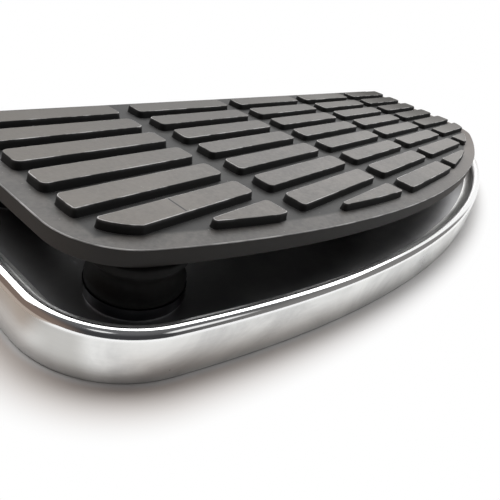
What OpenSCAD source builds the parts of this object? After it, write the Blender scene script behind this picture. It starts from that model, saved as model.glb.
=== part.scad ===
// Rider footboard: a dished alloy pan that folds up on two pivot brackets,
// with a rubber tread pad that floats above it on rubber isolators.
// X runs along the board, +Y points inboard to the hinges, +Z is up.
// The origin is under the middle of the whole part, on the surface that it rests on.

/* [Board] */
// Length of the board at the foot of its skirt
board_length = 314.5; // [300:0.5:340]
// Depth from the straight inboard edge to the middle of the curved edge
board_depth = 130.1; // [125:0.1:140]
// Radius of the curved outboard edge
outer_arc_r = 414; // [390:1:450]
// Radius of the corners beside the curved edge
outer_corner_r = 33; // [29:0.5:38]
// Radius of the corners beside the straight edge
inner_corner_r = 19; // [17:0.5:24]

/* [Pan] */
// Height of the rounded rim above the foot of the skirt
pan_height = 14.1; // [13.5:0.1:18]
// Thickness of the side wall, whose top is a full round
wall_t = 4.5; // [4:0.1:6]
// How far the wall leans inwards from its foot to its rim
wall_draft = 1.1; // [0.3:0.1:1.5]
// Height of the floor's upper face
floor_z = 8.5; // [8:0.1:9.5]
// Thickness of the floor
floor_t = 2.6; // [2:0.1:3]
// Radius of the fillet between floor and wall
floor_fillet_r = 3; // [1:0.5:4]
// Thickness of the ribs under the floor
rib_t = 2.4; // [2:0.1:4]
// Height of the ribs' lower edges above the foot of the skirt
rib_foot_z = 1.2; // [0.5:0.1:3]
// Spacing of the ribs along the board
rib_pitch = 31; // [24:0.5:50]
// Diameter of the drain holes
drain_d = 8; // [4:0.5:12]

/* [Isolators] */
// Distance of the outboard end isolators' axes from the edge of the mat
isolator_edge = 11.2; // [10:0.1:15]
// Distance of the inboard isolators from the straight edge
isolator_inner_y = 26; // [24:1:36]
// Diameter of a rubber isolator
isolator_d = 25.4; // [22:0.1:26]
// How far an isolator's waist is drawn in
isolator_waist = 1.8; // [0.5:0.1:3]
// Height of the isolator's seat above the floor
seat_rise = 3.5; // [3:0.1:4]
// Wall of the isolator's seat
seat_wall = 3; // [2.5:0.1:4]
// Diameter of the studs
stud_d = 6; // [5:0.5:8]
// Thickness of the rubber rings under the seats
ring_t = 1.6; // [1:0.1:2]
// Thickness of the stud washers
washer_t = 1.2; // [1:0.1:1.6]
// Diameter of the stud washers and of the rubber rings
washer_d = 18; // [15:0.5:19]
// Width across the flats of the locknuts
nut_flats = 10; // [8:0.5:13]
// Thickness of the locknuts
nut_t = 3.2; // [2.5:0.1:3.4]
// How far a stud stands out of its locknut
stud_tail = 0.6; // [0.2:0.1:0.8]

/* [Tread pad] */
// Distance of the pad's ends and straight edge inside the foot of the skirt
pad_inset = 9.4; // [8:0.1:14]
// Distance of the pad's curved edge inside the foot of the skirt, at its middle
pad_front_inset = 10.1; // [9:0.1:16]
// Radius of the pad's curved edge
pad_arc_r = 355.6; // [340:0.1:400]
// Radius of the pad's corners beside the curved edge
pad_corner_r = 23.6; // [20:0.1:28]
// Radius of the pad's corners beside the straight edge
pad_far_corner_r = 9.6; // [8:0.1:14]
// Gap between the pan's rim and the underside of the pad
pad_gap = 9.2; // [6:0.1:14]
// Thickness of the rubber mat without its blocks
mat_t = 4.8; // [4:0.1:7]
// Height of the tread blocks above the mat
block_h = 2.45; // [1:0.05:4]
// Number of blocks along the pad
tread_columns = 5; // [3:2:7]
// Gap between the ends of neighbouring blocks
column_gap = 7.8; // [4:0.1:14]
// Spacing of the rows of blocks
row_pitch = 12.7; // [10:0.1:16]
// Gap between neighbouring rows
row_gap = 4.15; // [2:0.05:6]
// Bare margin between the blocks and the mat's edge
block_margin = 6; // [4:0.1:8]
// Margin between the first row of blocks and the mat's straight edge
first_row_margin = 6.6; // [5:0.1:10]
// Radius of the blocks' corners
block_corner_r = 1.2; // [0.5:0.1:3]
// Width below which the tail of a clipped block is cut off
tail_w = 2.3; // [1.5:0.1:3.5]
// Thickness of the steel plate in the mat
plate_t = 2; // [1.5:0.1:3]
// Width of the rubber lip around the plate
lip_w = 6; // [4:0.1:10]
// Diameter of the rubber plugs that hold the mat to the plate
plug_d = 8; // [6:0.5:12]

/* [Hinges] */
// Distance of each hinge from the end of the board
hinge_inset = 65.25; // [60:0.25:85]
// Distance of the pivot axis behind the straight edge
pivot_y = 14; // [13:0.5:20]
// Height of the pivot axis
pivot_z = 9.5; // [9.5:0.1:12]
// Radius of the ears and knuckles around the pivot
knuckle_r = 8.6; // [8.2:0.1:9.4]
// Width of each bracket's knuckle
knuckle_w = 24; // [18:1:28]
// Thickness of the pan's hinge ears
ear_t = 8; // [6:0.5:10]
// Diameter of the pivot pins
pin_d = 9.5; // [8:0.1:10.5]
// Outer diameter of the bushings
bushing_d = 12.5; // [12:0.1:13.5]
// Gap between ear and knuckle that holds the spring washer
washer_gap = 1.2; // [1:0.1:2]
// Thickness of the spring washer
spring_washer_t = 0.8; // [0.5:0.1:0.9]

/* [Brackets] */
// Distance of the bolt line behind the pivot axis
bolt_y = 21; // [20:1:50]
// Spacing of a bracket's two bolt holes
bolt_spacing = 32; // [28:1:50]
// Diameter of the bolt holes
bolt_hole_d = 10.5; // [8:0.5:13]
// Radius of the flange around each bolt hole
bolt_boss_r = 11; // [10:0.5:12]
// Thickness of the flange
flange_t = 6; // [5:0.5:10]
// How far the stop toe reaches under the pan
toe_reach = 24; // [15:1:30]
// Width of the stop toe
toe_w = 20; // [14:1:24]

/* [Clearances] */
// Radial clearance of a pin in its bores
pin_fit = 0.05; // [0.01:0.01:0.1]
// Side gap and stop gap between moving metal pieces
metal_gap = 0.3; // [0.2:0.05:0.5]
// Radial clearance of the studs in the pan and in the isolators
stud_gap = 0.5; // [0.3:0.1:1]
// Clearance round the plate and the rubber plugs
rubber_gap = 0.2; // [0.1:0.05:0.4]
// Radial clearance of a bushing in its bracket
bushing_fit = 0.02; // [0.01:0.01:0.05]
// Side clearance of the spring washers and the clips on their pins
clip_gap = 0.05; // [0.05:0.01:0.1]
// Gap between the stop toes and the sides of their notches
toe_side_gap = 1.5; // [1:0.1:3]

/* [Hidden] */
$fn = 64;
fn_arc = 360;
eps = 0.01;

// Colours
alloy = "gainsboro";
rubber_black = [0.13, 0.13, 0.13];
zinc_steel = "silver";
bracket_black = [0.18, 0.18, 0.19];
bronze = [0.66, 0.5, 0.3];

// Edges of the whole part along Y
part_depth = board_depth + pivot_y + bolt_y + bolt_boss_r;
curved_y = -part_depth / 2;
straight_y = curved_y + board_depth;
pivot_line_y = straight_y + pivot_y;

// Levels
floor_under_z = floor_z - floor_t;
seat_z = floor_z + seat_rise;
seat_under_z = seat_z - seat_wall;
plate_z = pan_height + pad_gap;
isolator_h = plate_z - seat_z;
mat_top_z = plate_z + mat_t;
washer_z = seat_under_z - ring_t - washer_t;
nut_z = washer_z - nut_t;
stud_end_z = nut_z - stud_tail;

// Steps along the curves of the pan's wall
arc_steps = 12;
corner_steps = 12;
rim_steps = 12;
fillet_steps = 4;

// Seats, holes and fits
seat_ledge = 0.3;
seat_r = isolator_d / 2 + seat_ledge;
seat_hollow_r = seat_r - seat_wall;
isolator_flange_h = 2.2;
stud_hole_r = stud_d / 2 + stud_gap;
stud_chamfer = 0.4;
plug_hole_r = plug_d / 2 + rubber_gap;
plug_flare = 2.5;
plug_taper = 0.5;
plug_head_t = 2.2;
pin_bore_r = pin_d / 2 + pin_fit;
pin_head_t = 3;
pin_head_r = pin_d / 2 + 2.5;
pin_tail = 2;
pin_chamfer = 0.8;
clip_t = 1;
clip_r = pin_d / 2 + 2.5;
clip_groove_r = pin_d / 2 - 1.2;
clip_groove_w = clip_t + 2 * clip_gap;

// Centre of an outline corner beside the curved edge, which is tangent to
// the end of the outline and to the big arc, and the turn at which they meet.
// Both stay in place when the outline is drawn further in.
function corner_centre(half, arc_y, arc_r, corner_r) =
    let (x = half - corner_r, reach = arc_r - corner_r)
    [x, arc_y - sqrt(reach * reach - x * x)];

function corner_turn(centre, arc_y) = atan2(centre[1] - arc_y, centre[0]);

// Outline of the pan at the foot of its skirt
arc_centre_y = curved_y + outer_arc_r;
pan_corner = corner_centre(board_length / 2, arc_centre_y, outer_arc_r, outer_corner_r);
pan_corner_turn = corner_turn(pan_corner, arc_centre_y);
far_corner_x = board_length / 2 - inner_corner_r;
far_corner_y = straight_y - inner_corner_r;

// Outline of the pad
mat_length = board_length - 2 * pad_inset;
pad_front_y = curved_y + pad_front_inset;
pad_back_y = straight_y - pad_inset;
pad_arc_y = pad_front_y + pad_arc_r;
pad_corner = corner_centre(mat_length / 2, pad_arc_y, pad_arc_r, pad_corner_r);
pad_corner_turn = corner_turn(pad_corner, pad_arc_y);

// Places along X of the pieces of the front hinge, which is on the -X side
hinge_x = board_length / 2 - hinge_inset;
ear_outer_face_x = -hinge_x - knuckle_w / 2 - washer_gap - ear_t;
ear_inner_face_x = -hinge_x + knuckle_w / 2 + metal_gap + ear_t;
clip_x = ear_inner_face_x + metal_gap;

// Places of the isolators. The outboard end ones stand on the line from the
// centre of the pad's corner to the end of the corner's curve.
isolator_reach = pad_corner_r - isolator_edge;
isolator_x = pad_corner[0] + isolator_reach * cos(pad_corner_turn);
outer_row_y = pad_corner[1] + isolator_reach * sin(pad_corner_turn);
inner_row_y = straight_y - isolator_inner_y;
isolator_places = [
    for (y = [outer_row_y, inner_row_y], x = [-isolator_x, 0, isolator_x]) [x, y]
];

// Places of the rubber plugs, midway between the isolators
plug_y = (inner_row_y + outer_row_y) / 2;
plug_places = [for (x = [-isolator_x, -isolator_x / 2, 0, isolator_x / 2, isolator_x]) [x, plug_y]];

// Tread grid
block_length = (mat_length - 2 * block_margin - (tread_columns - 1) * column_gap) / tread_columns;
block_width = row_pitch - row_gap;
first_row_y = pad_back_y - first_row_margin - block_width;
margin_arc_r = pad_arc_r - block_margin;
tread_rows = ceil((first_row_y + block_width - pad_arc_y + margin_arc_r) / row_pitch);

// How far along X a row reaches before its clipped blocks get too narrow
function row_reach(far_edge_y) =
    let (chord_y = pad_arc_y - far_edge_y + tail_w)
    chord_y < margin_arc_r ? sqrt(margin_arc_r * margin_arc_r - chord_y * chord_y) : 0;

// D shape with its curved edge towards -Y, from its half length, the Y of its
// two long edges and the radii of the curved edge and of both pairs of corners
module d_shape(half, front_y, back_y, arc_r, near_r, far_r) {
    arc_y = front_y + arc_r;
    near = corner_centre(half, arc_y, arc_r, near_r);
    turn = corner_turn(near, arc_y);
    difference() {
        intersection() {
            translate([0, arc_y])
                circle(r = arc_r, $fn = fn_arc);
            translate([-half, front_y - eps])
                square([2 * half, back_y - front_y + eps]);
        }
        for (side = [-1, 1]) {
            translate([side * half, back_y])
                square(2 * far_r, center = true);
            polygon([
                [side * near[0], near[1]],
                [side * (half + eps), near[1]],
                [side * (half + eps), front_y - 2 * eps],
                [side * (near[0] + near_r * 2 * cos(turn)), near[1] + near_r * 2 * sin(turn)]
            ]);
        }
    }
    for (side = [-1, 1]) {
        translate([side * near[0], near[1]])
            circle(near_r);
        translate([side * (half - far_r), back_y - far_r])
            circle(far_r);
    }
}

// Outline of the pan, drawn in from the foot of the skirt by inset
module pan_outline(inset) {
    d_shape(
        board_length / 2 - inset, curved_y + inset, straight_y - inset,
        outer_arc_r - inset, outer_corner_r - inset, inner_corner_r - inset
    );
}

// Outline of the pad, drawn in from the edge of the mat by inset
module pad_outline(inset) {
    d_shape(
        mat_length / 2 - inset, pad_front_y + inset, pad_back_y - inset,
        pad_arc_r - inset, pad_corner_r - inset, pad_far_corner_r - inset
    );
}

// Points along an arc, without its first one
function arc_points(centre, r, from, to, steps) = [
    for (i = [1:steps])
        let (turn = from + (to - from) * i / steps)
            centre + r * [cos(turn), sin(turn)]
];

// Half of the pan's outline, from the middle of the curved edge round to the straight edge
function half_outline(inset) = concat(
    [[0, curved_y + inset]],
    arc_points([0, arc_centre_y], outer_arc_r - inset, -90, pan_corner_turn, arc_steps),
    arc_points(pan_corner, outer_corner_r - inset, pan_corner_turn, 0, corner_steps),
    [[board_length / 2 - inset, far_corner_y]],
    arc_points([far_corner_x, far_corner_y], inner_corner_r - inset, 0, 90, corner_steps)
);

function mirrored(points) = [for (i = [len(points) - 1:-1:1]) [-points[i][0], points[i][1]]];

function outline_points(inset) = concat(half_outline(inset), mirrored(half_outline(inset)));

// Section of the pan's wall, anticlockwise from its foot, with a full round rim
// and the fillet to the floor. X is outwards from the foot of the skirt, and Y is up.
function wall_profile() =
    let (
        rim_r = wall_t / 2,
        inner_x = -wall_draft - wall_t,
        fillet_x = inner_x - floor_fillet_r,
        fillet_z = floor_z + floor_fillet_r
    )
    concat(
        [[0, 0], [-wall_draft, pan_height - rim_r]],
        arc_points([inner_x + rim_r, pan_height - rim_r], rim_r, 0, 180, rim_steps),
        [[inner_x, fillet_z]],
        arc_points([fillet_x, fillet_z], floor_fillet_r, 0, -90, fillet_steps),
        [[fillet_x, floor_z - floor_t / 2], [inner_x, floor_z - floor_t / 2], [inner_x, 0]]
    );

// Wall that carries the section once round the outline
module pan_wall() {
    profile = wall_profile();
    rings = [for (place = profile) outline_points(-place[0])];
    around = len(rings[0]);
    points = [for (i = [0:len(profile) - 1], spot = rings[i]) [spot[0], spot[1], profile[i][1]]];
    faces = [
        for (i = [0:len(profile) - 1], j = [0:around - 1])
            let (
                here = i * around,
                above = (i + 1) % len(profile) * around,
                next = (j + 1) % around
            )
            each [[here + j, above + j, above + next], [here + j, above + next, here + next]]
    ];
    polyhedron(points, faces);
}

module isolator_seats() {
    for (place = isolator_places) {
        translate([place[0], place[1], floor_under_z])
            cylinder(h = seat_z - floor_under_z, r = seat_r);
    }
}

module isolator_seat_cuts() {
    for (place = isolator_places) {
        translate([place[0], place[1], -eps])
            cylinder(h = seat_under_z + eps, r = seat_hollow_r);
        translate([place[0], place[1], -eps])
            cylinder(h = seat_z + 2 * eps, r = stud_hole_r);
    }
}

module floor_ribs() {
    rib_h = floor_under_z - rib_foot_z + eps;
    rib_count = floor((board_length / 2 - wall_t) / rib_pitch);
    translate([0, 0, rib_foot_z]) {
        linear_extrude(rib_h) {
            intersection() {
                pan_outline(wall_t / 2);
                union() {
                    for (y = [inner_row_y, plug_y, outer_row_y]) {
                        translate([-board_length / 2, y - rib_t / 2])
                            square([board_length, rib_t]);
                    }
                    for (i = [-rib_count:rib_count]) {
                        translate([i * rib_pitch - rib_t / 2, curved_y])
                            square([rib_t, board_depth]);
                    }
                }
            }
        }
    }
}

// Ears of one hinge, with their roots carried under the floor
module hinge_ears() {
    root_past_toe = 2;
    ear_root_y = -pivot_y - toe_reach - root_past_toe;
    for (x = [ear_outer_face_x, ear_inner_face_x - ear_t]) {
        translate([x, pivot_line_y, 0]) {
            rotate([90, 0, 90]) {
                linear_extrude(ear_t) {
                    difference() {
                        union() {
                            translate([0, pivot_z])
                                circle(knuckle_r);
                            polygon([
                                [0, pivot_z - knuckle_r],
                                [0, pivot_z + knuckle_r],
                                [-pivot_y - wall_t / 4, pan_height - wall_t / 2],
                                [-pivot_y - wall_t, floor_under_z],
                                [ear_root_y, floor_under_z + eps],
                                [ear_root_y, rib_foot_z],
                                [-pivot_y, pivot_z - knuckle_r]
                            ]);
                        }
                        translate([0, pivot_z])
                            circle(pin_bore_r);
                    }
                }
            }
        }
    }
}

// Notch through the straight wall and the ribs for one bracket's toe
module toe_notch() {
    translate([-hinge_x - toe_w / 2 - toe_side_gap, straight_y - toe_reach - toe_side_gap, -eps])
        cube([toe_w + 2 * toe_side_gap, toe_reach + 2 * toe_side_gap, floor_under_z + eps]);
}

// Holes through the floor, each in the middle of a cell between the ribs
module drain_holes() {
    drain_y = (inner_row_y + plug_y) / 2;
    drain_cells = [0.5, 2.5];
    for (side = [-1, 1], cell = drain_cells) {
        translate([side * cell * rib_pitch, drain_y, 0])
            cylinder(h = seat_z, d = drain_d);
    }
}

module footboard_pan() {
    color(alloy) {
        difference() {
            union() {
                pan_wall();
                translate([0, 0, floor_under_z])
                    linear_extrude(floor_t)
                        pan_outline(wall_draft + wall_t / 2);
                floor_ribs();
                isolator_seats();
                hinge_ears();
                mirror([1, 0, 0])
                    hinge_ears();
            }
            isolator_seat_cuts();
            toe_notch();
            mirror([1, 0, 0])
                toe_notch();
            drain_holes();
        }
    }
}

// Tread block seen from above, with round corners
module block_outline() {
    r = block_corner_r;
    translate([r, 0])
        square([block_length - 2 * r, block_width]);
    translate([0, r])
        square([block_length, block_width - 2 * r]);
    for (x = [r, block_length - r], y = [r, block_width - r]) {
        translate([x, y])
            circle(r);
    }
}

module tread_blocks() {
    first_x = -mat_length / 2 + block_margin;
    linear_extrude(block_h + eps) {
        intersection() {
            pad_outline(block_margin);
            for (row = [0:tread_rows - 1]) {
                row_y = first_row_y - row * row_pitch;
                reach = row_reach(row_y + block_width);
                intersection() {
                    translate([-reach, row_y])
                        square([2 * reach, block_width]);
                    for (column = [0:tread_columns - 1]) {
                        translate([first_x + column * (block_length + column_gap), row_y])
                            block_outline();
                    }
                }
            }
        }
    }
}

module mat_plugs() {
    for (place = plug_places) {
        translate([place[0], place[1], plate_z - plug_head_t])
            cylinder(h = plate_t + plug_head_t + eps, d = plug_d);
        translate([place[0], place[1], plate_z - plug_head_t])
            cylinder(h = plug_head_t, r1 = plug_d / 2 - plug_taper, r2 = plug_d / 2 + plug_flare);
    }
}

module tread_pad() {
    color(rubber_black) {
        difference() {
            union() {
                translate([0, 0, plate_z])
                    linear_extrude(mat_t)
                        pad_outline(0);
                translate([0, 0, mat_top_z - eps])
                    tread_blocks();
            }
            translate([0, 0, plate_z - eps])
                linear_extrude(plate_t + eps)
                    pad_outline(lip_w - rubber_gap);
        }
        mat_plugs();
    }
}

module pad_plate() {
    color(zinc_steel) {
        translate([0, 0, plate_z]) {
            linear_extrude(plate_t) {
                difference() {
                    pad_outline(lip_w);
                    for (place = plug_places) {
                        translate(place)
                            circle(plug_hole_r);
                    }
                }
            }
        }
    }
}

// Rubber bobbin with a drawn-in waist, a stud's bore and a flange at each end
module isolator(index) {
    place = isolator_places[index];
    outer_r = isolator_d / 2;
    waist_half = isolator_h / 2 - isolator_flange_h;
    waist_r = (waist_half * waist_half + isolator_waist * isolator_waist) / (2 * isolator_waist);
    color(rubber_black) {
        translate([place[0], place[1], seat_z]) {
            rotate_extrude() {
                difference() {
                    translate([stud_hole_r, 0])
                        square([outer_r - stud_hole_r, isolator_h]);
                    translate([outer_r - isolator_waist + waist_r, isolator_h / 2])
                        circle(waist_r, $fn = fn_arc);
                }
            }
        }
    }
}

module front_outer_isolator() {
    isolator(0);
}

module middle_outer_isolator() {
    isolator(1);
}

module rear_outer_isolator() {
    isolator(2);
}

module front_inner_isolator() {
    isolator(3);
}

module middle_inner_isolator() {
    isolator(4);
}

module rear_inner_isolator() {
    isolator(5);
}

module rebound_rings() {
    color(rubber_black) {
        for (place = isolator_places) {
            translate([place[0], place[1], seat_under_z - ring_t]) {
                difference() {
                    cylinder(h = ring_t, d = washer_d);
                    translate([0, 0, -eps])
                        cylinder(h = ring_t + 2 * eps, r = stud_hole_r);
                }
            }
        }
    }
}

module isolator_studs() {
    color(zinc_steel) {
        for (place = isolator_places) {
            translate([place[0], place[1], stud_end_z + stud_chamfer])
                cylinder(h = plate_z - stud_end_z - stud_chamfer, d = stud_d);
            translate([place[0], place[1], stud_end_z])
                cylinder(h = stud_chamfer, r1 = stud_d / 2 - stud_chamfer, r2 = stud_d / 2);
        }
    }
}

module stud_washers() {
    color(zinc_steel) {
        for (place = isolator_places) {
            translate([place[0], place[1], washer_z]) {
                difference() {
                    cylinder(h = washer_t, d = washer_d);
                    translate([0, 0, -eps])
                        cylinder(h = washer_t + 2 * eps, d = stud_d + 2 * pin_fit);
                }
            }
        }
    }
}

module stud_locknuts() {
    corner_r = nut_flats / 2 / cos(30);
    chamfer_slope = 2;
    color(zinc_steel) {
        for (place = isolator_places) {
            translate([place[0], place[1], nut_z]) {
                difference() {
                    intersection() {
                        cylinder(h = nut_t, r = corner_r, $fn = 6);
                        cylinder(h = nut_t, r1 = nut_flats / 2, r2 = nut_flats / 2 + nut_t * chamfer_slope);
                    }
                    translate([0, 0, -eps])
                        cylinder(h = nut_t + 2 * eps, d = stud_d + 2 * pin_fit);
                }
            }
        }
    }
}

// Side view of a bracket: stop toe, knuckle and arm, from the pivot axis
module bracket_side() {
    toe_top = floor_under_z - metal_gap;
    neck_cover = 1.6;
    neck_drop = 4;
    arm_turn = 53;
    arm_overlap = 4;
    arm_end_y = bolt_y - bolt_boss_r + arm_overlap;
    difference() {
        union() {
            translate([0, pivot_z])
                circle(knuckle_r);
            polygon([
                [-pivot_y - toe_reach, rib_foot_z],
                [-pivot_y - toe_reach, toe_top],
                [-pivot_y - metal_gap, toe_top],
                [neck_cover - knuckle_r, pivot_z - neck_drop],
                [0, pivot_z],
                [0, pivot_z - knuckle_r],
                [-pivot_y / 2, pivot_z - knuckle_r]
            ]);
            polygon([
                [0, 0],
                [0, pivot_z],
                knuckle_r * [cos(arm_turn), sin(arm_turn)] + [0, pivot_z],
                [arm_end_y, flange_t],
                [arm_end_y, 0]
            ]);
        }
        translate([0, pivot_z])
            circle(d = bushing_d);
    }
}

module bracket_flange() {
    half = bolt_spacing / 2;
    translate([0, bolt_y]) {
        for (side = [-1, 1]) {
            translate([side * half, 0])
                circle(bolt_boss_r);
        }
        translate([-half, -bolt_boss_r])
            square([2 * half, 2 * bolt_boss_r]);
    }
}

module front_bracket() {
    boss_rise = 1;
    boss_step = 2;
    color(bracket_black) {
        translate([-hinge_x, pivot_line_y, 0]) {
            difference() {
                union() {
                    translate([-toe_w / 2, 0, 0])
                        rotate([90, 0, 90])
                            linear_extrude(toe_w)
                                bracket_side();
                    translate([-knuckle_w / 2, 0, pivot_z])
                        rotate([0, 90, 0])
                            cylinder(h = knuckle_w, r = knuckle_r);
                    linear_extrude(flange_t)
                        bracket_flange();
                    for (side = [-1, 1]) {
                        translate([side * bolt_spacing / 2, bolt_y, 0])
                            cylinder(h = flange_t + boss_rise, r = bolt_boss_r - boss_step);
                    }
                }
                for (side = [-1, 1]) {
                    translate([side * bolt_spacing / 2, bolt_y, -eps])
                        cylinder(h = flange_t + boss_rise + 2 * eps, d = bolt_hole_d);
                }
                translate([-knuckle_w / 2 - eps, 0, pivot_z])
                    rotate([0, 90, 0])
                        cylinder(h = knuckle_w + 2 * eps, d = bushing_d);
            }
        }
    }
}

module rear_bracket() {
    mirror([1, 0, 0])
        front_bracket();
}

module front_bushing() {
    color(bronze) {
        translate([-hinge_x - knuckle_w / 2, pivot_line_y, pivot_z]) {
            rotate([0, 90, 0]) {
                difference() {
                    cylinder(h = knuckle_w, r = bushing_d / 2 - bushing_fit);
                    translate([0, 0, -eps])
                        cylinder(h = knuckle_w + 2 * eps, r = pin_bore_r);
                }
            }
        }
    }
}

module rear_bushing() {
    mirror([1, 0, 0])
        front_bushing();
}

module front_pivot_pin() {
    pin_length = clip_x + clip_t + pin_tail - ear_outer_face_x;
    color(zinc_steel) {
        translate([ear_outer_face_x, pivot_line_y, pivot_z]) {
            rotate([0, 90, 0]) {
                difference() {
                    union() {
                        translate([0, 0, -pin_head_t])
                            cylinder(h = pin_head_t, r = pin_head_r);
                        cylinder(h = pin_length - pin_chamfer, d = pin_d);
                        translate([0, 0, pin_length - pin_chamfer])
                            cylinder(h = pin_chamfer, r1 = pin_d / 2, r2 = pin_d / 2 - pin_chamfer);
                    }
                    translate([0, 0, clip_x - ear_outer_face_x]) {
                        difference() {
                            cylinder(h = clip_groove_w, r = pin_d);
                            translate([0, 0, -eps])
                                cylinder(h = clip_groove_w + 2 * eps, r = clip_groove_r);
                        }
                    }
                }
            }
        }
    }
}

module rear_pivot_pin() {
    mirror([1, 0, 0])
        front_pivot_pin();
}

// Conical washer that takes up the side play between the outer ear and the knuckle
module front_spring_washer() {
    cone_rise = washer_gap - spring_washer_t - 2 * clip_gap;
    inner_r = pin_d / 2 + metal_gap;
    outer_r = knuckle_r - 0.4;
    color(zinc_steel) {
        translate([ear_outer_face_x + ear_t + clip_gap, pivot_line_y, pivot_z]) {
            rotate([0, 90, 0]) {
                rotate_extrude() {
                    polygon([
                        [inner_r, 0],
                        [inner_r, spring_washer_t],
                        [outer_r, spring_washer_t + cone_rise],
                        [outer_r, cone_rise]
                    ]);
                }
            }
        }
    }
}

module rear_spring_washer() {
    mirror([1, 0, 0])
        front_spring_washer();
}

// Open retaining ring in the groove of the pivot pin
module front_pin_clip() {
    grip_r = clip_groove_r + clip_gap;
    mouth_w = 1.5 * clip_groove_r;
    notch_r = 0.9;
    notch_turns = [30, 150, 270];
    color(zinc_steel) {
        translate([clip_x + clip_gap, pivot_line_y, pivot_z]) {
            rotate([90, 0, 90]) {
                linear_extrude(clip_t) {
                    difference() {
                        circle(clip_r);
                        circle(grip_r);
                        translate([-mouth_w / 2, 0])
                            square([mouth_w, 2 * clip_r]);
                        for (turn = notch_turns) {
                            rotate(turn)
                                translate([grip_r + 2 * notch_r, 0])
                                    circle(notch_r);
                        }
                    }
                }
            }
        }
    }
}

module rear_pin_clip() {
    mirror([1, 0, 0])
        front_pin_clip();
}

footboard_pan();
tread_pad();
pad_plate();
front_outer_isolator();
middle_outer_isolator();
rear_outer_isolator();
front_inner_isolator();
middle_inner_isolator();
rear_inner_isolator();
rebound_rings();
isolator_studs();
stud_washers();
stud_locknuts();
front_bracket();
rear_bracket();
front_bushing();
rear_bushing();
front_pivot_pin();
rear_pivot_pin();
front_spring_washer();
rear_spring_washer();
front_pin_clip();
rear_pin_clip();
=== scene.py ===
"""Looks of a rider footboard: a polished alloy pan on two hinges, and a rubber
tread pad that floats above it on six rubber isolators. Everything is in metres,
in the frame of the CAD model."""
import math

import bmesh
import bpy
from mathutils import Euler, Matrix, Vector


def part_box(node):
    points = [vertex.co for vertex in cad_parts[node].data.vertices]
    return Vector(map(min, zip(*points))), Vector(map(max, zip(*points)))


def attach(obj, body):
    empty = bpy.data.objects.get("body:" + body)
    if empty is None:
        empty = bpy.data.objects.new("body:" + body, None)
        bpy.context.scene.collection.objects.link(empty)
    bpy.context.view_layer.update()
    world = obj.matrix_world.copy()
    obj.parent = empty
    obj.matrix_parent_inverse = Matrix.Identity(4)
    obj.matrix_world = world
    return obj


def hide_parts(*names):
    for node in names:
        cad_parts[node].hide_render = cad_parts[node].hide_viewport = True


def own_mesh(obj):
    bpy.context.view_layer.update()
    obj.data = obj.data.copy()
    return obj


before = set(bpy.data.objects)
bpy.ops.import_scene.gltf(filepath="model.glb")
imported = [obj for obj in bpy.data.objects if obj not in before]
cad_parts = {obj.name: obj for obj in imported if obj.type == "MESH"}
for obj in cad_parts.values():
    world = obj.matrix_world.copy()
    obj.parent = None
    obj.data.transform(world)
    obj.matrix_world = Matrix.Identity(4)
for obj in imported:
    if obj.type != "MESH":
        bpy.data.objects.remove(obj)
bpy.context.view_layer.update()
scene = bpy.context.scene
MM = 0.001

# ---------------------------------------------------------------------------
# Sizes of the board, mostly the CAD source's own
# ---------------------------------------------------------------------------
# Pan
BOARD_LENGTH = 314.5 * MM
BOARD_DEPTH = 130.1 * MM
CURVED_Y = -88.05 * MM
STRAIGHT_Y = CURVED_Y + BOARD_DEPTH
OUTER_ARC_R = 414 * MM
OUTER_CORNER_R = 33 * MM
INNER_CORNER_R = 19 * MM
WALL_T = 4.5 * MM
WALL_DRAFT = 1.1 * MM
PAN_HEIGHT = 14.1 * MM
FLOOR_Z = 8.5 * MM
FLOOR_T = 2.6 * MM
FLOOR_FILLET_R = 3 * MM
HINGE_X = 92 * MM
TOE_NOTCH_W = 23 * MM
TOE_NOTCH_H = 5.9 * MM

# Mat and the plate in its underside
PAD_INSET = 9.4 * MM
PAD_FRONT_INSET = 10.1 * MM
PAD_ARC_R = 355.6 * MM
PAD_CORNER_R = 23.6 * MM
PAD_FAR_CORNER_R = 9.6 * MM
LIP_W = 6 * MM
PLATE_Z = 23.3 * MM
PLATE_T = 2 * MM
MAT_T = 4.8 * MM
MAT_TOP_Z = PLATE_Z + MAT_T

# Tread blocks
BLOCK_H = 2.45 * MM
BLOCK_SUNK = 0.05 * MM
BLOCK_MARGIN = 6 * MM
BLOCK_CORNER_R = 1.2 * MM
SQUARE_END_EXTRA_R = 0.9 * MM
SEAM_X = -118.4 * MM
TAIL_W = 2.3 * MM
FIRST_ROW_MARGIN = 6.6 * MM
TREAD_COLUMNS = 5
TREAD_ROWS = 8
COLUMN_GAP = 7.8 * MM
ROW_PITCH = 12.7 * MM
ROW_GAP = 4.15 * MM

# Isolators
SEAT_Z = 12 * MM
ISOLATOR_R = 12.7 * MM
ISOLATOR_BORE_R = 3.5 * MM
ISOLATOR_WAIST = 1.8 * MM
ISOLATOR_FLANGE_H = 2.2 * MM

# Plugs, studs and nuts
PLUG_R = 4 * MM
PLUG_FLARE = 2.5 * MM
PLUG_HEAD_T = 2.2 * MM
NUT_Z = 3 * MM
STUD_R = 3 * MM


# ---------------------------------------------------------------------------
# Small helpers for objects and meshes
# ---------------------------------------------------------------------------
def add_object(name, data):
    made = bpy.data.objects.new(name, data)
    scene.collection.objects.link(made)
    return made


def mesh_object(name, points, faces):
    data = bpy.data.meshes.new(name)
    data.from_pydata([tuple(p) for p in points], [], faces)
    data.update()
    return add_object(name, data)


def line_curve(name, points, closed):
    """A curve of straight steps through the points."""
    data = bpy.data.curves.new(name, "CURVE")
    data.dimensions = "3D"
    path = data.splines.new("POLY")
    path.points.add(len(points) - 1)
    for spot, point in zip(path.points, points):
        spot.co = (point[0], point[1], 0, 1)
    path.use_cyclic_u = closed
    return add_object(name, data)


def smooth(piece, degrees):
    """Smooth shading with sharp edges where the faces turn by more than this."""
    piece.data.shade_smooth()
    piece.data.set_sharp_from_angle(angle=math.radians(degrees))
    return piece


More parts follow.
